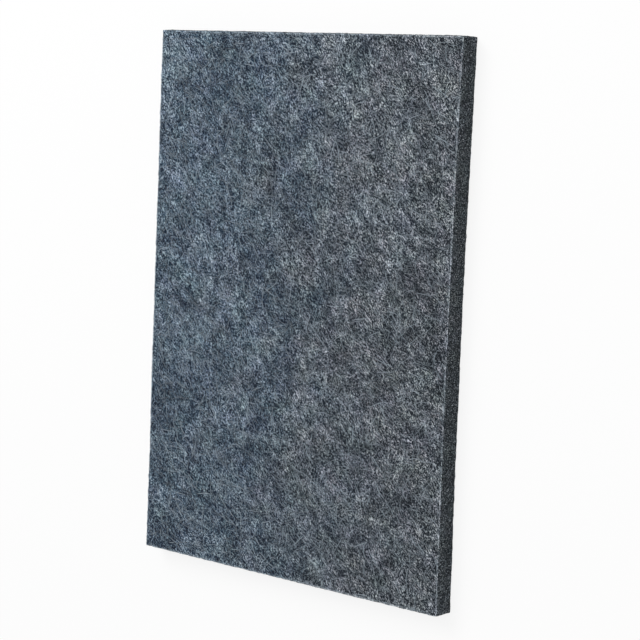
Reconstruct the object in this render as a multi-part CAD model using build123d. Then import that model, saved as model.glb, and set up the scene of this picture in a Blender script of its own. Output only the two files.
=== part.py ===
from build123d import *
import os

# One sample board of needle-punched polyester felt, cut from a pressed sheet with a blade.
# It lies on its back: X runs across it, Y up its long side, Z through its thickness.
# The origin is the middle of the underside. Millimetres.

# Board
board_width = 210.0
board_length = 297.0
board_thickness = 12.0

# Cut edges: the blade wandered on the right-hand side, which is hollow at its middle
right_cut_hollow = 1.2
outline_corner_radius = 0.5
front_arris_radius = 0.4
back_arris_radius = 0.3


def cut_outline() -> Sketch:
    """The board's outline: three straight cuts, and a right-hand cut that bows inwards."""
    right, top = board_width / 2, board_length / 2
    with BuildSketch() as outline:
        with BuildLine():
            ThreePointArc((right, -top), (right - right_cut_hollow, 0), (right, top))
            Polyline((right, top), (-right, top), (-right, -top), (right, -top))
        make_face()
        fillet(outline.vertices(), outline_corner_radius)
    return outline.sketch


def felt_panel() -> Part:
    """The whole board: its faces are flat, and the felt turns over softly along each cut."""
    with BuildPart() as board:
        add(cut_outline())
        extrude(amount=board_thickness)
        fillet(board.faces().sort_by(Axis.Z)[-1].edges(), front_arris_radius)
        fillet(board.faces().sort_by(Axis.Z)[0].edges(), back_arris_radius)
    return board.part


os.makedirs("parts", exist_ok=True)
export_step(felt_panel(), "parts/felt_panel.step")
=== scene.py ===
import logging
import math
from dataclasses import dataclass
from enum import Enum
from typing import Any, Mapping, Sequence

import bpy
import numpy as np
from mathutils import Matrix, Vector


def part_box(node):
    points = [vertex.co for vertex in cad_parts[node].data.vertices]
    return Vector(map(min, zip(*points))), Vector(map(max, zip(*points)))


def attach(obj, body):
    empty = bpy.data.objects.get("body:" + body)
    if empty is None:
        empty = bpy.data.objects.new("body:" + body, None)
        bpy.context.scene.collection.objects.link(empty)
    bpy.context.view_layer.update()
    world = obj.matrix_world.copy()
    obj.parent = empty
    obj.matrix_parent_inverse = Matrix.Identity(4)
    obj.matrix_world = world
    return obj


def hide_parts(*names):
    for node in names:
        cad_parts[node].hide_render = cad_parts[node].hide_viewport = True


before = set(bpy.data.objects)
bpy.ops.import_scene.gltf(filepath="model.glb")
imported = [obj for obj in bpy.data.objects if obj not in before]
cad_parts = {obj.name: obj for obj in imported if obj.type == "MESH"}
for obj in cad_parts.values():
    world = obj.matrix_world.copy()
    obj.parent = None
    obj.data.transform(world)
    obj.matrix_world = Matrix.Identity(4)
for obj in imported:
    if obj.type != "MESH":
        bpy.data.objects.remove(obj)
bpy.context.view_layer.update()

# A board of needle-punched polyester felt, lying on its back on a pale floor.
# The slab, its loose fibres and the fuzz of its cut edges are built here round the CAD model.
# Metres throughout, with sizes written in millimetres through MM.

MM = 0.001
PHOTO_SIDE = 640
BODY = "root"
CAD_NODE = "felt_panel"
CUT_MASK = "cut_mask"
# Where a highlight is painted along the arrises.
RIM_HIGHLIGHT_MASK = "rim_highlight_mask"
FIBRE_SHADE = "fibre_shade"
WHITE = (1.0, 1.0, 1.0)
OCTAVE_SHARE = 0.5

Array = np.ndarray
Colour = tuple[float, float, float]
Faces = list[tuple[int, ...]]

log = logging.getLogger("felt_board")


def shown(red: float, green: float, blue: float) -> Colour:
    """Turns a colour as seen on screen, 0 to 255, into the linear colour that a shader needs.

    Args:
        red: red level on screen.
        green: green level on screen.
        blue: blue level on screen.

    Returns:
        The linear colour.
    """
    def linear(level: float) -> float:
        """Undoes the screen's tone curve for one channel."""
        part = level / 255
        return part / 12.92 if part <= 0.04045 else ((part + 0.055) / 1.055) ** 2.4

    return linear(red), linear(green), linear(blue)


# Shader graphs

class Signal:
    """One output socket of a shader graph, on which Python arithmetic adds nodes."""

    def __init__(self, graph: "ShaderGraph", socket: bpy.types.NodeSocket) -> None:
        """Wraps a socket.

        Args:
            graph: the graph that the socket is in.
            socket: the socket that carries the value.
        """
        self.graph = graph
        self.socket = socket

    @property
    def is_triple(self) -> bool:
        """True where the socket carries a vector or a colour."""
        return self.socket.type in ("VECTOR", "RGBA")

    def _combine(self, operation: str, first: Any, second: Any) -> "Signal":
        """Adds the Math or Vector Math node that joins two values.

        Args:
            operation: the node's operation.
            first: number, triple or signal.
            second: number, triple or signal.

        Returns:
            The result, a triple where either value is one.
        """
        pair = (first, second)
        triple = any(isinstance(value, tuple) or getattr(value, "is_triple", False) for value in pair)
        kind = "ShaderNodeVectorMath" if triple else "ShaderNodeMath"
        return self.graph.node(kind, {"operation": operation}, {0: first, 1: second})

    def __add__(self, other: Any) -> "Signal":
        """Sum."""
        return self._combine("ADD", self, other)

    __radd__ = __add__

    def __sub__(self, other: Any) -> "Signal":
        """Difference."""
        return self._combine("SUBTRACT", self, other)

    def __rsub__(self, other: Any) -> "Signal":
        """Reflected difference, such as 1 - mask."""
        return self._combine("SUBTRACT", other, self)

    def __mul__(self, other: Any) -> "Signal":
        """Product."""
        return self._combine("MULTIPLY", self, other)

    __rmul__ = __mul__

    def step(self, low: float, high: float) -> "Signal":
        """Rises smoothly from 0 at low to 1 at high.

        Args:
            low: the value at which the step starts.
            high: the value at which it is complete.

        Returns:
            The smooth step.
        """
        settings = {"interpolation_type": "SMOOTHSTEP"}
        return self.graph.node("ShaderNodeMapRange", settings, {0: self, 1: low, 2: high})


class ShaderGraph:
    """A material's or world's node tree, emptied and ready to be built."""

    def __init__(self, owner: bpy.types.Material | bpy.types.World) -> None:
        """Empties the owner's tree.

        Args:
            owner: the material or world whose tree is built.
        """
        owner.use_nodes = True
        self.tree = owner.node_tree
        self.tree.nodes.clear()

    def node(
        self,
        kind: str,
        settings: Mapping[str, Any] | None = None,
        inputs: Mapping[str | int, Any] | None = None,
        output: str | int = 0,
    ) -> Signal:
        """Adds one node.

        Args:
            kind: the node's type.
            settings: its own settings, set before its sockets; "stops" fills a colour ramp.
            inputs: values or signals for its input sockets, by name or number.
            output: the output that is handed back.

        Returns:
            The chosen output.
        """
        node = self.tree.nodes.new(kind)
        for name, value in (settings or {}).items():
            if name == "stops":
                self._fill_ramp(node.color_ramp, value)
            else:
                setattr(node, name, value)
        for name, value in (inputs or {}).items():
            socket = node.inputs[name]
            if isinstance(value, Signal):
                self.tree.links.new(value.socket, socket)
            elif socket.type == "RGBA":
                socket.default_value = (*value, 1.0)
            elif socket.type == "VECTOR" and isinstance(value, (int, float)):
                socket.default_value = (value, value, value)
            else:
                socket.default_value = value
        return Signal(self, node.outputs[output])

    @staticmethod
    def _fill_ramp(ramp: bpy.types.ColorRamp, stops: Sequence[tuple[float, Colour]]) -> None:
        """Writes a ramp's stops.

        Args:
            ramp: the ramp.
            stops: pairs of position and linear colour.
        """
        while len(ramp.elements) < len(stops):
            ramp.elements.new(0.5)
        for element, (position, colour) in zip(ramp.elements, stops):
            element.position = position
            element.color = (*colour, 1.0)

    def end(self, kind: str, shader: Signal) -> None:
        """Links a finished shader to an end node, such as the material's output."""
        end_node = self.tree.nodes.new(kind)
        self.tree.links.new(shader.socket, end_node.inputs[0])

    def mix(self, factor: Any, first: Any, second: Any) -> Signal:
        """Mixes two colours.

        Args:
            factor: share of the second colour.
            first: colour at factor 0.
            second: colour at factor 1.

        Returns:
            The mixed colour.
        """
        return self.node("ShaderNodeMix", {"data_type": "RGBA"}, {0: factor, 6: first, 7: second}, 2)

    def mask(self, name: str) -> Signal:
        """Reads a mask that a mesh stores at its points."""
        return self.node("ShaderNodeAttribute", {"attribute_name": name}, output="Fac")

    def place_mm(self) -> Signal:
        """Place on the object, in millimetres."""
        return self.node("ShaderNodeTexCoord", output="Object") * (1 / MM)

    def noise(self, place: Signal, size: float, detail: float = 0.0, output: str = "Fac") -> Signal:
        """Soft noise about nought, between -0.5 and 0.5.

        Args:
            place: where it is read.
            size: width of one swell, in the place's units.
            detail: number of finer octaves.
            output: "Fac" for one noise, "Color" for three that differ.

        Returns:
            The noise.
        """
        inputs = {"Vector": place, "Scale": 1 / size, "Detail": detail, "Roughness": OCTAVE_SHARE}
        return self.node("ShaderNodeTexNoise", {}, inputs, output) - 0.5

    def drawn_out(self, place: Signal, heading: float, size: tuple[float, float, float]) -> Signal:
        """Turns and scales a place, so that noise of size 1 read there is drawn out.

        Args:
            place: the place.
            heading: the direction that becomes X, in degrees round the face's normal.
            size: size of one swell along the heading, across it and through the thickness.

        Returns:
            The turned and scaled place.
        """
        turn = {"Vector": place, "Angle": -math.radians(heading)}
        turned = self.node("ShaderNodeVectorRotate", {"rotation_type": "Z_AXIS"}, turn)
        return turned * tuple(1 / length for length in size)


# Finishes

@dataclass(frozen=True)
class Mottle:
    """One layer of uneven shade. Millimetres and degrees, with its shift in swells.

    A swell is as wide as the size says, and drawn out along the heading by the stretch.
    """

    size: float
    strength: float
    detail: float = 0.0
    shift: float = 0.0
    stretch: float = 1.0
    heading: float = 0.0

    def read(self, graph: ShaderGraph, place: Signal) -> Signal:
        """Adds the layer's noise.

        Args:
            graph: the graph that the layer is added to.
            place: where it is read.

        Returns:
            The noise, about nought.
        """
        size = (self.size * self.stretch, self.size, self.size)
        drawn = graph.drawn_out(place, self.heading, size) + self.shift
        return graph.noise(drawn, 1.0, self.detail) * self.strength


@dataclass(frozen=True)
class Strands:
    """A layer of fibres that lies over the layers below it. Degrees, millimetres and a shade."""

    heading: float
    size: tuple[float, float, float]
    level: float
    fade: tuple[float, float] = (0.09, 0.15)
    gathering: float = 0.0

    def lay(self, graph: ShaderGraph, place: Signal, below: Signal | float, clumps: Signal) -> Signal:
        """Adds the layer. Its heading also shifts its noise, so that no two layers are alike.

        Args:
            graph: the graph that the layer is added to.
            place: where it is read.
            below: level of the layers below.
            clumps: noise whose swells the fibres gather in, or shun where gathering is negative.

        Returns:
            The level with this layer on top.
        """
        drawn = graph.drawn_out(place, self.heading, self.size) + self.heading
        presence = graph.noise(drawn, 1.0) + clumps * self.gathering
        return below + (self.level - below) * presence.step(*self.fade)


def pale_strands(heading: float) -> Strands:
    """Pale fibres of one heading."""
    return Strands(heading, (2.2, 0.30, 0.30), level=0.68, fade=(0.125, 0.175), gathering=0.6)


def plain_strands(heading: float) -> Strands:
    """Middle grey fibres of one heading."""
    return Strands(heading, (2.2, 0.34, 0.34), level=0.28, fade=(0.09, 0.15))


def dark_strands(heading: float) -> Strands:
    """Dark fibres of one heading."""
    return Strands(heading, (2.2, 0.34, 0.34), level=0.0, fade=(0.01, 0.07), gathering=-0.5)


@dataclass(frozen=True)
class Palette:
    """Shades from dark to pale, whose red and blue differ from their green by a lean that fades."""

    red_lean: float
    blue_lean: float
    neutral_at: float = 600.0
    dim: float = 1.0
    greens: tuple[tuple[float, float], ...] = (
        (0.0, 12), (0.19, 42), (0.37, 85), (0.60, 144), (0.90, 222),
    )

    def shade(self, green: float) -> Colour:
        """Works out one linear colour of the palette.

        Args:
            green: its green level on screen, before the palette dims it.

        Returns:
            The linear colour.
        """
        green = green * self.dim
        share = 1 - green / self.neutral_at
        return shown(max(green + self.red_lean * share, 0), green, green + self.blue_lean * share)

    def read(self, graph: ShaderGraph, level: Signal) -> Signal:
        """Adds the ramp that turns a level into a shade.

        Args:
            graph: the graph that the level is in.
            level: 0 for the darkest shade.

        Returns:
            The colour.
        """
        stops = [(position, self.shade(green)) for position, green in self.greens]
        return graph.node("ShaderNodeValToRGB", {"stops": stops}, {"Fac": level})


@dataclass(frozen=True)
class HeatheredFelt:
    """Pale and dark fibres needled into one blue-grey mat, darker where a blade has cut it; painted light
    makes its faces cooler and dimmer to the left, and a painted highlight runs along the front arris.
    """

    name: str = "heathered_felt"
    face_level: float = 0.12
    drift: Mottle = Mottle(80.0, 0.18, shift=1.425)
    clouds: Mottle = Mottle(17.0, 0.53, 2.0)
    tufts: Mottle = Mottle(4.0, 0.74, 1.0, stretch=1.7, heading=134)
    speckle: Mottle = Mottle(0.50, 0.50, stretch=1.3, heading=134)
    clumps: Mottle = Mottle(0.62, 1.0, shift=76, stretch=1.6, heading=132)
    face_strands: tuple[Strands, ...] = (
        plain_strands(30), dark_strands(100), pale_strands(20), dark_strands(145), plain_strands(115),
        pale_strands(85), dark_strands(60), plain_strands(150), pale_strands(110), dark_strands(138),
        plain_strands(75), pale_strands(132),
    )
    cut_strands: tuple[Strands, ...] = (
        Strands(11, (0.40, 0.40, 1.2), level=0.40, fade=(0.13, 0.18), gathering=0.5),
        Strands(23, (2.2, 2.2, 0.36), level=0.0, fade=(-0.02, 0.04), gathering=-0.4),
        Strands(37, (0.45, 0.45, 0.45), level=0.72, fade=(0.14, 0.19), gathering=0.6),
        Strands(41, (0.45, 0.45, 1.2), level=0.0, fade=(0.04, 0.09), gathering=-0.5),
        Strands(53, (2.2, 2.2, 0.34), level=0.50, fade=(0.14, 0.19), gathering=0.5),
    )
    bend_size: float = 7.0
    bend_reach: float = 2.4
    # Painted highlight: a pale, broken line along the front arris, where the fibres catch the light.
    rim_highlight: float = 0.34
    rim_highlight_fade: tuple[float, float] = (0.45, 1.0)
    rim_highlight_breaks: Mottle = Mottle(2.2, 1.6, 1.0)
    cut_level: float = 0.075
    cut_layers: Mottle = Mottle(1.1, 0.70, 1.0)
    cut_ends: Mottle = Mottle(0.60, 0.90)
    layer_squash: tuple[float, float, float] = (0.5, 0.5, 1.5)
    core_height: float = 8.0
    core_shading: float = 0.0007
    # Painted light: between these places the faces turn from a cooler, dimmer painted cast on the left to
    # neutral on the right.
    cool_light_edge: float = -80.0
    neutral_light_edge: float = 100.0
    cool_light_palette: Palette = Palette(-27.0, 22.0, dim=0.96)
    neutral_light_palette: Palette = Palette(-9.5, 10.0)
    cut_palette: Palette = Palette(-12.0, 9.0)
    light_tint_wander: Mottle = Mottle(26.0, 200.0, 2.5)
    dye: Mottle = Mottle(12.0, 0.20, 2.0)
    bump_height: float = 0.10
    roughness: float = 0.95
    specular: float = 0.2
    sheen: float = 0.08
    sheen_roughness: float = 0.6

    def build(self) -> bpy.types.Material:
        """Builds the material.

        Returns:
            The finished material.
        """
        material = bpy.data.materials.new(self.name)
        graph = ShaderGraph(material)
        place = graph.place_mm()
        cut = graph.mask(CUT_MASK)
        clumps = self.clumps.read(graph, place)
        face, face_height = self._face(graph, place, clumps)
        sides = self._cut_face(graph, place, clumps)
        # Painted highlight along the arris, broken up by noise and added to the level.
        rim = graph.mask(RIM_HIGHLIGHT_MASK).step(*self.rim_highlight_fade) * (self.rim_highlight_breaks.read(graph, place) + 1.0)
        level = face * (1 - cut) + sides * cut + rim * self.rim_highlight
        height = face_height * (1 - cut) + sides * cut
        normal = graph.node("ShaderNodeBump", {}, {"Distance": self.bump_height * MM, "Height": height})
        shader = graph.node("ShaderNodeBsdfPrincipled", {}, {
            "Base Color": self._colour(graph, place, cut, level),
            "Roughness": self.roughness,
            "Normal": normal,
            "Specular IOR Level": self.specular,
            "Sheen Weight": self.sheen,
            "Sheen Roughness": self.sheen_roughness,
        })
        graph.end("ShaderNodeOutputMaterial", shader)
        return material

    def _face(self, graph: ShaderGraph, place: Signal, clumps: Signal) -> tuple[Signal, Signal]:
        """Adds the pressed face, from clouds, tufts, speckle and crossing fibres.

        Args:
            graph: the graph that it is added to.
            place: place on the board, in millimetres.
            clumps: noise that the fibres gather in.

        Returns:
            The face's level and its height.
        """
        bent = place + graph.noise(place, self.bend_size, 1.0, "Color") * self.bend_reach
        level = self.face_level
        for strands in self.face_strands:
            level = strands.lay(graph, bent, level, clumps)
        shade = level
        for mottle in (self.drift, self.clouds, self.tufts, self.speckle):
            shade = shade + mottle.read(graph, place)
        return shade, level

    def _cut_face(self, graph: ShaderGraph, place: Signal, clumps: Signal) -> Signal:
        """Adds a cut: fibre ends and layers that follow the faces, darkest in the core.

        Args:
            graph: the graph that it is added to.
            place: place on the board, in millimetres.
            clumps: noise that the fibre ends gather in.

        Returns:
            The cut's level, which is its height too.
        """
        level = self.cut_layers.read(graph, place * self.layer_squash) + self.cut_level
        for strands in self.cut_strands:
            level = strands.lay(graph, place, level, clumps)
        depth = graph.node("ShaderNodeSeparateXYZ", {}, {0: place}, "Z") - self.core_height
        return level + depth * depth * self.core_shading + self.cut_ends.read(graph, place)

    def _colour(self, graph: ShaderGraph, place: Signal, cut: Signal, level: Signal) -> Signal:
        """Adds the colour, with painted light: a cooler, dimmer cast painted on the left of the faces,
        more neutral to the right and on the cuts.

        Args:
            graph: the graph that it is added to.
            place: place on the board, in millimetres.
            cut: mask of the cuts.
            level: 0 for the darkest shade.

        Returns:
            The colour, a little uneven in its dye and in where the painted cool cast turns.
        """
        wander = self.light_tint_wander.read(graph, place)
        across = graph.node("ShaderNodeSeparateXYZ", {}, {0: place}, "X") + wander
        across = across.step(self.cool_light_edge, self.neutral_light_edge)
        palettes = (self.cool_light_palette, self.neutral_light_palette, self.cut_palette)
        cool, warm, side = (palette.read(graph, level) for palette in palettes)
        dye = graph.noise(place, self.dye.size, self.dye.detail, "Color") * self.dye.strength
        return graph.mix(cut, graph.mix(across, cool, warm), side) * (dye + 1.0)


@dataclass(frozen=True)
class LooseFibre:
    """Polyester fibre from dark to pale, with its shade read from each fibre."""

    name: str
    dark: Colour
    pale: Colour
    patches: Mottle = Mottle(9.0, 0.8, 2.0)
    roughness: float = 0.7
    specular: float = 0.3
    sheen: float = 0.1

    def build(self) -> bpy.types.Material:
        """Builds the material.

        Returns:
            The finished material.
        """
        material = bpy.data.materials.new(self.name)
        graph = ShaderGraph(material)
        shade = graph.mask(FIBRE_SHADE) + self.patches.read(graph, graph.place_mm())
        shader = graph.node("ShaderNodeBsdfPrincipled", {}, {
            "Base Color": graph.mix(shade.step(0.0, 1.0), self.dark, self.pale),
            "Roughness": self.roughness,
            "Specular IOR Level": self.specular,
            "Sheen Weight": self.sheen,
        })
        graph.end("ShaderNodeOutputMaterial", shader)
        return material


@dataclass(frozen=True)
class PaperFloor:
    """White paper that shows the shadow softly and stays white in the picture."""

    name: str = "white_paper"
    paper: Colour = (0.8, 0.8, 0.8)
    glow_share: float = 0.85

    def build(self) -> bpy.types.Material:
        """Builds the material.

        Returns:
            The finished material.
        """
        material = bpy.data.materials.new(self.name)
        graph = ShaderGraph(material)
        seen = seen_directly(graph)
        paper = graph.node("ShaderNodeBsdfDiffuse", {}, {"Color": graph.mix(seen, self.paper, WHITE)})
        glow = graph.node("ShaderNodeEmission", {}, {"Color": WHITE, "Strength": 1.0})
        both = graph.node("ShaderNodeMixShader", {}, {0: seen * self.glow_share, 1: paper, 2: glow})
        graph.end("ShaderNodeOutputMaterial", both)
        return material


def seen_directly(graph: ShaderGraph) -> Signal:
    """1 for what the camera, a reflection or a clear body sees, 0 for light that only bounces.

    Args:
        graph: the graph that asks.

    Returns:
        The mask.
    """
    rays = ("Is Camera Ray", "Is Glossy Ray", "Is Transmission Ray")
    camera, glossy, clear = (graph.node("ShaderNodeLightPath", output=name) for name in rays)
    return (camera + glossy + clear).step(0.0, 1.0)


# Shapes

@dataclass(frozen=True)
class WaveBand:
    """Random waves of about one length: wavelength and root mean square height, in metres."""

    wavelength: float
    height: float
    count: int = 40
    shortest: float = 0.75
    longest: float = 1.35


class Relief:
    """Height of a surface above its mean, as a sum of random waves through space."""

    def __init__(self, bands: Sequence[WaveBand], seed: int) -> None:
        """Draws the waves.

        Args:
            bands: the lengths and heights of the waves.
            seed: start of the random draws.
        """
        draw = np.random.default_rng(seed)
        vectors, heights = [], []
        for band in bands:
            heading = draw.normal(size=(band.count, 3))
            heading /= np.linalg.norm(heading, axis=1, keepdims=True)
            length = band.wavelength * draw.uniform(band.shortest, band.longest, (band.count, 1))
            vectors.append(heading * math.tau / length)
            heights.append(np.full(band.count, band.height * math.sqrt(2 / band.count)))
        self.vectors = np.concatenate(vectors)
        self.heights = np.concatenate(heights)
        self.phases = draw.uniform(0, math.tau, len(self.heights))

    def at(self, points: Array) -> Array:
        """Reads the relief.

        Args:
            points: places in space, one to a row.

        Returns:
            The height at each place.
        """
        return np.cos(points @ self.vectors.T + self.phases) @ self.heights


class Side(Enum):
    """The four cuts, as the quarter turn that brings the right-hand cut onto each."""

    RIGHT = 0
    TOP = 1
    LEFT = 2
    BOTTOM = 3


@dataclass(frozen=True)
class BoardShape:
    """Outline and section of the board. Metres."""

    half_width: float
    half_length: float
    thickness: float
    right_cut_hollow: float = 1.2 * MM
    corner_radius: float = 0.5 * MM
    front_arris_radius: float = 0.4 * MM
    back_arris_radius: float = 0.3 * MM

    @classmethod
    def of_node(cls, node: str) -> "BoardShape":
        """Reads the size of a CAD node that is centred on the origin and lies on z = 0.

        Args:
            node: the CAD node.

        Returns:
            The shape.
        """
        low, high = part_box(node)
        return cls(half_width=-low[0], half_length=-low[1], thickness=high[2])

    def hollow(self, x: Array, y: Array) -> Array:
        """How far the hollow right-hand cut draws a place to the left."""
        across = (x + self.half_width) / (2 * self.half_width)
        return self.right_cut_hollow * (1 - (y / self.half_length) ** 2) * across

    def half_along(self, side: Side) -> float:
        """Half the length of a cut."""
        return self.half_length if side in (Side.RIGHT, Side.LEFT) else self.half_width

    def plan(self, x: Array, y: Array, inset: float) -> tuple[Array, Array]:
        """Bends a square-cornered place into the outline, drawn in by an inset.

        Args:
            x: place across the board.
            y: place along the board.
            inset: distance inside the outline that the outermost places come to.

        Returns:
            The bent places.
        """
        radius = self.corner_radius
        flat_x, flat_y = self.half_width - radius, self.half_length - radius
        reach = (radius - inset) / radius
        out_x = np.maximum(np.abs(x) - flat_x, 0) * reach
        out_y = np.maximum(np.abs(y) - flat_y, 0) * reach
        span = np.hypot(out_x, out_y)
        rounding = np.divide(np.maximum(out_x, out_y), span, out=np.ones_like(span), where=span > 0)
        bent_x = np.sign(x) * (np.minimum(np.abs(x), flat_x) + out_x * rounding)
        bent_y = np.sign(y) * (np.minimum(np.abs(y), flat_y) + out_y * rounding)
        return bent_x - self.hollow(bent_x, bent_y), bent_y

    def section(self, across: Array) -> tuple[Array, Array, Array, Array]:
        """Follows the section from the front face over an arris, down a cut and round the back.

        Args:
            across: distance along the section from the front face's rim; less than 0 is on the face.

        Returns:
            Distance out from the outline, height, and the normal's outward and upward parts.
        """
        front, back = self.front_arris_radius, self.back_arris_radius
        wall = self.thickness - front - back
        turn_front = np.clip(across / front, 0, math.pi / 2)
        down = np.clip(across - front * math.pi / 2, 0, wall)
        turn_back = np.clip((across - front * math.pi / 2 - wall) / back, 0, math.pi / 2)
        under = np.maximum(across - self.section_length, 0)
        inset = front * (1 - np.sin(turn_front)) + back * (1 - np.cos(turn_back)) + under
        out = np.minimum(across, 0) - inset
        height = self.thickness - front * (1 - np.cos(turn_front)) - down - back * np.sin(turn_back)
        turn = turn_front + turn_back
        return out, height, np.sin(turn), np.cos(turn)

    @property
    def section_length(self) -> float:
        """Length of the section from the front face's rim to the back's."""
        front, back = self.front_arris_radius, self.back_arris_radius
        return (front + back) * (math.pi / 2 - 1) + self.thickness

    def wrap(self, side: Side, along: Array, across: Array) -> tuple[Array, Array]:
        """Wraps flat places round one of the board's four cut sides.

        Args:
            side: the cut.
            along: place along the cut, from its middle.
            across: place along the section, as section() takes it.

        Returns:
            Points in space and their outward normals.
        """
        out, height, normal_out, normal_up = self.section(across)
        reach = self.half_width if side in (Side.RIGHT, Side.LEFT) else self.half_length
        x, y = self._turned(side, reach + out, along)
        x = x - self.hollow(x, y)
        normal_x, normal_y = self._turned(side, normal_out, np.zeros_like(along))
        return np.stack([x, y, height], -1), np.stack([normal_x, normal_y, normal_up], -1)

    @staticmethod
    def _turned(side: Side, x: Array, y: Array) -> tuple[Array, Array]:
        """Turns a place on the right-hand cut onto another side.

        Args:
            side: the side that it is turned onto.
            x: place across the board.
            y: place along it.

        Returns:
            The turned place.
        """
        return {
            Side.RIGHT: (x, y),
            Side.TOP: (-y, x),
            Side.LEFT: (-x, -y),
            Side.BOTTOM: (y, -x),
        }[side]


@dataclass(frozen=True)
class Ring:
    """One ring of points round the board: its inset and height in metres, and its two masks."""

    inset: float
    height: float
    cut: float
    rim: float


class Skin:
    """Points of a skin, gathered block by block, with the cut mask and rim mask of each."""

    def __init__(self) -> None:
        """Starts with no points."""
        self.count = 0
        self.columns: list[Array] = []

    def add(self, x: Array, y: Array, height: float, cut: float = 0.0, rim: Array | float = 0.0) -> Array:
        """Adds a block of points of one height.

        Args:
            x: places across the board.
            y: places along it.
            height: their height.
            cut: their cut mask.
            rim: their rim mask, where a highlight is painted.

        Returns:
            The points' numbers, in the shape of x.
        """
        block = np.stack(np.broadcast_arrays(x, y, height, cut, rim), -1)
        self.columns.append(block.reshape(-1, block.shape[-1]))
        first = self.count
        self.count += x.size
        return np.arange(first, self.count).reshape(x.shape)

    def read(self) -> tuple[Array, Array, Array]:
        """Hands back the points, their cut mask and their rim mask."""
        rows = np.concatenate(self.columns)
        return rows[:, :3], rows[:, 3], rows[:, 4]


@dataclass
class FeltSlab:
    """The board's skin: one closed mesh of pressed faces, soft arrises and rough cuts. Metres."""

    shape: BoardShape
    finish: HeatheredFelt
    relief: Relief
    cut_relief: Relief
    cell: float = 1.0 * MM
    arris_steps: int = 4
    cut_steps: int = 9
    skin_depth: float = 0.06 * MM
    proud_limit: float = 0.1 * MM
    name: str = "felt_slab"

    def build(self) -> bpy.types.Object:
        """Builds and dresses the slab.

        Returns:
            The slab.
        """
        points, cut, rim, faces = self._closed_skin()
        mesh = bpy.data.meshes.new(self.name)
        mesh.from_pydata(points.tolist(), [], faces)
        normals = np.empty(len(points) * 3, np.float32)
        mesh.vertex_normals.foreach_get("vector", normals)
        rise = self.relief.at(points) + cut * self.cut_relief.at(points) - self.skin_depth
        points = points + normals.reshape(-1, 3) * np.minimum(rise, self.proud_limit)[:, None]
        finish_mesh(mesh, pressed_down(points), {CUT_MASK: cut, RIM_HIGHLIGHT_MASK: rim}, self.finish.build())
        return bpy.data.objects.new(self.name, mesh)

    def _lines(self, half: float) -> Array:
        """Places the grid lines from one cut to the other: two in each rounded corner, the rest even.

        Args:
            half: half the distance between the cuts.

        Returns:
            The lines' places.
        """
        radius = self.shape.corner_radius
        count = 2 * round((half - radius) / self.cell)
        middle = np.linspace(radius - half, half - radius, count + 1)
        return np.concatenate([[-half, radius / 2 - half], middle, [half - radius / 2, half]])

    def _closed_skin(self) -> tuple[Array, Array, Array, Faces]:
        """Makes the smooth skin, before its relief.

        Returns:
            Its points, cut mask, rim mask and faces.
        """
        shape, skin = self.shape, Skin()
        xs, ys = self._lines(shape.half_width), self._lines(shape.half_length)
        grid_x, grid_y = np.meshgrid(xs, ys)
        from_edge = np.minimum(shape.half_width - np.abs(grid_x), shape.half_length - np.abs(grid_y))
        # The rim mask marks where a highlight is painted along the front arris.
        rim = np.clip(1 - (from_edge - shape.corner_radius) / self.cell, 0, 1)
        front = skin.add(*shape.plan(grid_x, grid_y, shape.front_arris_radius), shape.thickness, rim=rim)
        faces = grid_faces(front)
        outer = border(front)
        edge_x, edge_y = grid_x.ravel()[outer], grid_y.ravel()[outer]
        for ring in self._rings():
            inner = skin.add(*shape.plan(edge_x, edge_y, ring.inset), ring.height, ring.cut, ring.rim)
            faces += strip_faces(outer, inner)
            outer = inner
        back = skin.add(*self._back_places(xs[::2], ys[::2]), 0.0)
        faces += grid_faces(back, flipped=True)
        faces += halving_faces(outer, border(back))
        return *skin.read(), faces

    def _back_places(self, xs: Array, ys: Array) -> tuple[Array, Array]:
        """Places the grid over the back face, one cell inside its arris.

        Args:
            xs: grid lines across the board.
            ys: grid lines along it.

        Returns:
            The grid's places across the board and along it.
        """
        shape = self.shape
        inset = shape.back_arris_radius + self.cell
        x, y = np.meshgrid(xs * (1 - inset / shape.half_width), ys * (1 - inset / shape.half_length))
        return x - shape.hollow(x, y), y

    def _rings(self) -> list[Ring]:
        """Places the rings from the front arris down the cuts to the back face's rim.

        Returns:
            The rings, from the front.
        """
        shape = self.shape
        front, back = shape.front_arris_radius, shape.back_arris_radius
        wall = shape.thickness - front - back
        rings = []
        for step in range(1, self.arris_steps + 1):
            part = step / self.arris_steps
            turn = math.pi / 2 * part
            height = shape.thickness - front * (1 - math.cos(turn))
            rings.append(Ring(front * (1 - math.sin(turn)), height, cut=part, rim=1 - part))
        for step in range(1, self.cut_steps + 1):
            height = shape.thickness - front - wall * step / self.cut_steps
            rings.append(Ring(0.0, height, cut=1.0, rim=0.0))
        for step in range(1, self.arris_steps + 1):
            part = step / self.arris_steps
            turn = math.pi / 2 * part
            height = back * (1 - math.sin(turn))
            # A faint painted highlight on the back arris too.
            rings.append(Ring(back * (1 - math.cos(turn)), height, cut=1 - part, rim=part * (1 - part)))
        return rings


def finish_mesh(
    mesh: bpy.types.Mesh, points: Array, masks: Mapping[str, Array], material: bpy.types.Material,
) -> None:
    """Moves a mesh's points to their places, stores its masks, smooths it and dresses it.

    Args:
        mesh: the mesh.
        points: a place for each of its points.
        masks: a value for each of its points, by the mask's name.
        material: its material.
    """
    mesh.vertices.foreach_set("co", points.astype(np.float32).ravel())
    for name, values in masks.items():
        mesh.attributes.new(name, "FLOAT", "POINT").data.foreach_set("value", values.astype(np.float32))
    mesh.polygons.foreach_set("use_smooth", np.ones(len(mesh.polygons), bool))
    mesh.materials.append(material)
    mesh.update()


def pressed_down(points: Array) -> Array:
    """Flattens what would reach below the surface that the board lies on."""
    return np.concatenate([points[:, :2], np.maximum(points[:, 2:], 0)], 1)


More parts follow.
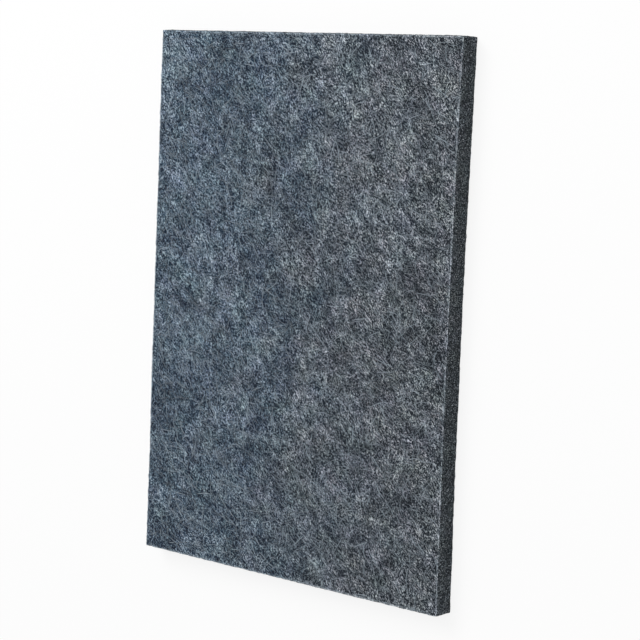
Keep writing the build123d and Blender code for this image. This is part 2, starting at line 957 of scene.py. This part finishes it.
def grid_faces(ids: Array, flipped: bool = False) -> Faces:
    """Quads over a grid of point numbers.

    Args:
        ids: point numbers, in rows from low y to high y.
        flipped: True where the faces look down.

    Returns:
        The faces.
    """
    corners = [ids[:-1, :-1], ids[:-1, 1:], ids[1:, 1:], ids[1:, :-1]]
    if flipped:
        corners.reverse()
    return list(map(tuple, np.stack([corner.ravel() for corner in corners], -1).tolist()))


def border(ids: Array) -> Array:
    """Point numbers round a grid's border, anticlockwise from its low corner."""
    return np.concatenate([ids[0, :-1], ids[:-1, -1], ids[-1, :0:-1], ids[:0:-1, 0]])


def strip_faces(upper: Array, lower: Array) -> Faces:
    """Quads between two closed rings of as many points, the second outside or below the first."""
    corners = (upper, lower, np.roll(lower, -1), np.roll(upper, -1))
    return list(map(tuple, np.stack(corners, -1).tolist()))


def halving_faces(fine: Array, coarse: Array) -> Faces:
    """Triangles from a closed ring to one inside it with half as many points, seen from below.

    Args:
        fine: the outer ring's points.
        coarse: the inner ring's points, whose first lies beside the outer ring's first.

    Returns:
        The faces.
    """
    faces = []
    for number, inner in enumerate(coarse.tolist()):
        first, second, third = (int(fine[(2 * number + step) % len(fine)]) for step in range(3))
        following = int(coarse[(number + 1) % len(coarse)])
        faces += [(first, inner, second), (second, inner, following), (second, following, third)]
    return faces


# Loose fibres

@dataclass(frozen=True)
class FibreKind:
    """How the loose fibres of one place lie. Metres and degrees."""

    count: int
    length: tuple[float, float]
    radius: tuple[float, float]
    heading: float
    heading_spread: float
    stray_share: float
    bend_radius: float
    lift: float
    shade: tuple[float, float]
    segments: int
    sunk: float = 0.12 * MM
    sudden_share: float = 0.6
    least_lift_share: float = 0.2

    def paths(self, draw: np.random.Generator, low: Array, high: Array) -> Array:
        """Draws flat, gently curved paths whose middles fill a rectangle.

        Args:
            draw: the random draws.
            low: least middle, along both axes.
            high: greatest middle.

        Returns:
            Paths, by fibre, point and axis.
        """
        middle = draw.uniform(low, high, (self.count, 2))
        step = draw.uniform(*self.length, (self.count, 1)) / self.segments
        heading = draw.normal(self.heading, self.heading_spread, (self.count, 1))
        stray = draw.uniform(0, 1, (self.count, 1)) < self.stray_share
        heading = np.where(stray, draw.uniform(0, 180, (self.count, 1)), heading)
        bend = draw.normal(0, 1 / self.bend_radius, (self.count, self.segments)) * self.sudden_share
        bend = bend + draw.normal(0, 1 / self.bend_radius, (self.count, 1))
        turn = np.radians(heading) + np.cumsum(bend * step, 1)
        moves = np.stack([np.cos(turn), np.sin(turn)], -1) * step[..., None]
        path = np.concatenate([np.zeros((self.count, 1, 2)), np.cumsum(moves, 1)], 1)
        return middle[:, None] + path - path.mean(1, keepdims=True)


@dataclass(frozen=True)
class FibreTubes:
    """Turns paths on the board's surface into one mesh of thin closed tubes."""

    material: bpy.types.Material
    relief: Relief
    sides: int = 3
    end_taper: float = 0.45
    taper_power: float = 0.5
    arch_power: float = 0.7
    thin_power: float = 3.0

    def build(self, name: str, kind: FibreKind, draw: np.random.Generator, points: Array,
              normals: Array) -> bpy.types.Object:
        """Makes the tubes, each arched so that its ends are sunk in the felt.

        Args:
            name: the piece's name.
            kind: how the fibres lie.
            draw: the random draws.
            points: path points on the mean surface, by fibre, point and axis.
            normals: the surface's outward normals there.

        Returns:
            The joined fibres.
        """
        fibres, stations = points.shape[:2]
        thin, thick = kind.radius
        radius = thin + (thick - thin) * draw.uniform(0, 1, (fibres, 1, 1, 1)) ** self.thin_power
        shade = draw.uniform(*kind.shade, fibres)
        half_wave = np.sin(math.pi * np.linspace(0, 1, stations))
        top = draw.uniform(kind.least_lift_share, 1, (fibres, 1)) * kind.lift
        rise = self.relief.at(points.reshape(-1, 3)).reshape(fibres, stations)
        rise = rise - kind.sunk + half_wave ** self.arch_power * (top + kind.sunk)
        middle = points + normals * rise[..., None]
        tangent = np.gradient(middle, axis=1)
        tangent /= np.linalg.norm(tangent, axis=2, keepdims=True)
        beside = np.cross(tangent, normals)
        beside /= np.linalg.norm(beside, axis=2, keepdims=True)
        above = np.cross(beside, tangent)
        angle = (math.tau * np.arange(self.sides) / self.sides + math.pi / 2)[:, None]
        spoke = beside[:, :, None] * np.cos(angle) + above[:, :, None] * np.sin(angle)
        taper = self.end_taper + (1 - self.end_taper) * half_wave ** self.taper_power
        skin = middle[:, :, None] + spoke * radius * taper[:, None, None]
        return self._joined(name, pressed_down(skin.reshape(-1, 3)), fibres, stations, shade)

    def _joined(self, name: str, skin: Array, fibres: int, stations: int,
                shade: Array) -> bpy.types.Object:
        """Joins every tube's quads and end caps into one mesh.

        Args:
            name: the piece's name.
            skin: the tubes' points, by fibre, station and side, one to a row.
            fibres: number of fibres.
            stations: number of points along each.
            shade: each fibre's shade.

        Returns:
            The joined fibres.
        """
        ids = np.arange(len(skin)).reshape(fibres, stations, self.sides)
        turned = np.roll(ids, -1, 2)
        quads = np.stack([ids[:, :-1], ids[:, 1:], turned[:, 1:], turned[:, :-1]], -1).reshape(-1, 4)
        caps = np.concatenate([ids[:, 0], ids[:, -1, ::-1]])
        mesh = bpy.data.meshes.new(name)
        mesh.from_pydata(skin.tolist(), [], quads.tolist() + caps.tolist())
        finish_mesh(mesh, skin, {FIBRE_SHADE: np.repeat(shade, stations * self.sides)}, self.material)
        return bpy.data.objects.new(name, mesh)


@dataclass(frozen=True)
class FaceFibres:
    """The loose fibres on the pressed faces: long, nearly straight and mostly on one slant."""

    shape: BoardShape
    tubes: FibreTubes
    kind: FibreKind = FibreKind(
        count=6700, length=(4 * MM, 13 * MM), radius=(0.05 * MM, 0.20 * MM),
        heading=142, heading_spread=24, stray_share=0.45, bend_radius=16 * MM,
        lift=0.22 * MM, shade=(0.2, 1.0), segments=5,
    )
    most: int = 6150
    margin: float = 0.8 * MM
    seed: int = 11

    def build(self) -> list[bpy.types.Object]:
        """Lays the fibres on the front and the back.

        Returns:
            The fibres of the front, then those of the back.
        """
        return [
            self._lay("front_face_fibres", self.seed, self.shape.thickness, 1.0),
            self._lay("back_face_fibres", self.seed + 1, 0.0, -1.0),
        ]

    def _lay(self, name: str, seed: int, height: float, up: float) -> bpy.types.Object:
        """Lays the fibres of one face that stay inside its rim.

        Args:
            name: the piece's name.
            seed: start of the random draws.
            height: height of the face.
            up: 1 where the face looks up, -1 where it looks down.

        Returns:
            The joined fibres.
        """
        draw = np.random.default_rng(seed)
        reach = np.array([self.shape.half_width, self.shape.half_length]) - self.margin
        flat = self.kind.paths(draw, -reach, reach)
        flat = flat[(np.abs(flat) < reach).all((1, 2))][:self.most]
        x, y = flat[..., 0], flat[..., 1]
        points = np.stack([x - self.shape.hollow(x, y), y, np.full_like(x, height)], -1)
        normals = np.broadcast_to([0.0, 0.0, up], points.shape)
        return self.tubes.build(name, self.kind, draw, points, normals)


@dataclass(frozen=True)
class EdgeFibres:
    """Loose fibres in a band that follows all four cuts, wrapped round their section."""

    shape: BoardShape
    tubes: FibreTubes
    label: str
    kind: FibreKind
    band: tuple[float, float]
    seed: int
    end_gap: float = 2 * MM

    def build(self) -> list[bpy.types.Object]:
        """Lays the fibres on each side.

        Returns:
            One piece for each side.
        """
        return [self._lay(side) for side in Side]

    def _lay(self, side: Side) -> bpy.types.Object:
        """Lays the fibres of one side.

        Args:
            side: the side.

        Returns:
            The joined fibres.
        """
        draw = np.random.default_rng(self.seed + side.value)
        reach = self.shape.half_along(side) - self.end_gap
        low, high = self.band
        flat = self.kind.paths(draw, np.array([-reach, low]), np.array([reach, high]))
        points, normals = self.shape.wrap(side, flat[..., 0], flat[..., 1])
        return self.tubes.build(f"{side.name.lower()}_{self.label}", self.kind, draw, points, normals)


def cut_fibres(shape: BoardShape, tubes: FibreTubes) -> EdgeFibres:
    """Describes the short dark fibre ends that a blade has left lying along the cuts.

    Args:
        shape: the board.
        tubes: what makes the fibres' meshes.

    Returns:
        The coat of fibres.
    """
    kind = FibreKind(
        count=1400, length=(1.5 * MM, 5 * MM), radius=(0.05 * MM, 0.13 * MM),
        heading=0, heading_spread=35, stray_share=0.5, bend_radius=8 * MM,
        lift=0.22 * MM, shade=(0.0, 0.65), segments=4,
    )
    band = (0.8 * MM, shape.section_length - 0.5 * MM)
    return EdgeFibres(shape, tubes, "cut_fibres", kind, band, seed=31)


def arris_fuzz(shape: BoardShape, tubes: FibreTubes) -> EdgeFibres:
    """Describes the pale fibres that the blade has raised along the rim of the front face.

    Args:
        shape: the board.
        tubes: what makes the fibres' meshes.

    Returns:
        The coat of fibres.
    """
    kind = FibreKind(
        count=260, length=(2 * MM, 7 * MM), radius=(0.05 * MM, 0.12 * MM),
        heading=0, heading_spread=14, stray_share=0.25, bend_radius=6 * MM,
        lift=0.3 * MM, shade=(0.5, 1.0), segments=4,
    )
    band = (-0.8 * MM, 0.3 * MM)
    return EdgeFibres(shape, tubes, "arris_fuzz", kind, band, seed=51)


def add_piece(piece: bpy.types.Object) -> None:
    """Puts a piece of the board in the scene, on its body, and reports it.

    Args:
        piece: the piece.
    """
    bpy.context.scene.collection.objects.link(piece)
    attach(piece, BODY)
    triangles = sum(len(face.vertices) - 2 for face in piece.data.polygons)
    log.info("%s: %d triangles", piece.name, triangles)


# Studio

@dataclass(frozen=True)
class Viewpoint:
    """The photograph's camera, above the lying board's right-hand side. Metres and degrees."""

    position: tuple[float, float, float] = (0.7015, 0.1212, 0.8355)
    aim: tuple[float, float, float] = (0.0183, 0.0124, 0.012)
    roll: float = 2.32
    lens_mm: float = 113.4
    sensor_mm: float = 36.0
    principal_row: float = 290.0
    name: str = "photo_camera"

    def build(self) -> bpy.types.Object:
        """Makes the camera and gives it to the scene.

        Returns:
            The camera.
        """
        data = bpy.data.cameras.new(self.name)
        data.sensor_width = self.sensor_mm
        data.lens = self.lens_mm
        data.shift_y = (self.principal_row - PHOTO_SIDE / 2) / PHOTO_SIDE
        camera = bpy.data.objects.new(self.name, data)
        bpy.context.scene.collection.objects.link(camera)
        back = (Vector(self.position) - Vector(self.aim)).normalized()
        right = Vector((0, 1, 0)).cross(back).normalized()
        turned = Matrix((right, back.cross(right), back)).transposed()
        turned = turned @ Matrix.Rotation(math.radians(self.roll), 3, "Z")
        camera.matrix_world = Matrix.Translation(self.position) @ turned.to_4x4()
        bpy.context.scene.camera = camera
        return camera


@dataclass(frozen=True)
class SoftLamp:
    """A square lamp that points at the board. Metres and watts."""

    name: str
    position: tuple[float, float, float]
    size: float
    watts: float

    def build(self) -> bpy.types.Object:
        """Makes the lamp.

        Returns:
            The lamp.
        """
        data = bpy.data.lights.new(self.name, "AREA")
        data.shape = "SQUARE"
        data.size = self.size
        data.energy = self.watts
        lamp = bpy.data.objects.new(self.name, data)
        lamp.location = self.position
        lamp.rotation_mode = "QUATERNION"
        lamp.rotation_quaternion = (-Vector(self.position)).to_track_quat("-Z", "Y")
        bpy.context.scene.collection.objects.link(lamp)
        return lamp


@dataclass(frozen=True)
class Studio:
    """Pale floor, soft lamps and an even pale sky."""

    lamps: tuple[SoftLamp, ...] = (
        SoftLamp("key_lamp", (-0.6, 1.2, 1.35), 1.2, 22.0),
        SoftLamp("fill_lamp", (0.5, 0.5, 1.9), 1.4, 7.0),
    )
    sky_strength: float = 0.38
    floor_reach: float = 4.0
    floor_drop: float = 0.05 * MM

    def build(self) -> None:
        """Builds the lamps, the sky and the floor."""
        for lamp in self.lamps:
            lamp.build()
        self._build_sky()
        self._build_floor()

    def _build_sky(self) -> None:
        """Gives the world an even light, and plain white where it is seen."""
        world = bpy.data.worlds.new("pale_sky")
        bpy.context.scene.world = world
        graph = ShaderGraph(world)
        strength = seen_directly(graph) * (1 - self.sky_strength) + self.sky_strength
        sky = graph.node("ShaderNodeBackground", {}, {"Color": WHITE, "Strength": strength})
        graph.end("ShaderNodeOutputWorld", sky)

    def _build_floor(self) -> None:
        """Lays the floor just under the board."""
        reach = self.floor_reach
        corners = [(-reach, -reach), (reach, -reach), (reach, reach), (-reach, reach)]
        mesh = bpy.data.meshes.new("floor")
        mesh.from_pydata([(x, y, -self.floor_drop) for x, y in corners], [], [(0, 1, 2, 3)])
        mesh.materials.append(PaperFloor().build())
        floor = bpy.data.objects.new("floor", mesh)
        bpy.context.scene.collection.objects.link(floor)


@dataclass(frozen=True)
class FeltBoard:
    """The whole board: its slab, and the loose fibres on its faces, cuts and arrises."""

    shape: BoardShape
    face_waves: tuple[WaveBand, ...] = (
        WaveBand(60 * MM, 0.04 * MM),
        WaveBand(7 * MM, 0.05 * MM),
        WaveBand(3 * MM, 0.03 * MM),
    )
    cut_waves: tuple[WaveBand, ...] = (
        WaveBand(2.4 * MM, 0.05 * MM),
        WaveBand(8 * MM, 0.02 * MM),
    )
    face_fibre: LooseFibre = LooseFibre("loose_face_fibre", shown(40, 52, 63), shown(181, 195, 206))
    cut_fibre: LooseFibre = LooseFibre("loose_cut_fibre", shown(37, 44, 48), shown(156, 166, 171))
    face_seed: int = 3
    cut_seed: int = 4

    def build(self) -> None:
        """Builds the slab in the CAD node's place and covers it with fibres."""
        relief = Relief(self.face_waves, self.face_seed)
        cut_relief = Relief(self.cut_waves, self.cut_seed)
        slab = FeltSlab(self.shape, HeatheredFelt(), relief, cut_relief).build()
        add_piece(slab)
        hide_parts(CAD_NODE)
        tubes = FibreTubes(self.face_fibre.build(), relief)
        cut_tubes = FibreTubes(self.cut_fibre.build(), relief)
        coats = (
            FaceFibres(self.shape, tubes),
            cut_fibres(self.shape, cut_tubes),
            arris_fuzz(self.shape, tubes),
        )
        for coat in coats:
            for piece in coat.build():
                add_piece(piece)


def main() -> None:
    """Builds the camera, the studio and the board in order."""
    bpy.context.scene.view_settings.view_transform = "Standard"
    Viewpoint().build()
    Studio().build()
    FeltBoard(BoardShape.of_node(CAD_NODE)).build()


if __name__ == "__main__":
    logging.basicConfig(level=logging.INFO, format="%(name)s %(message)s")
    main()
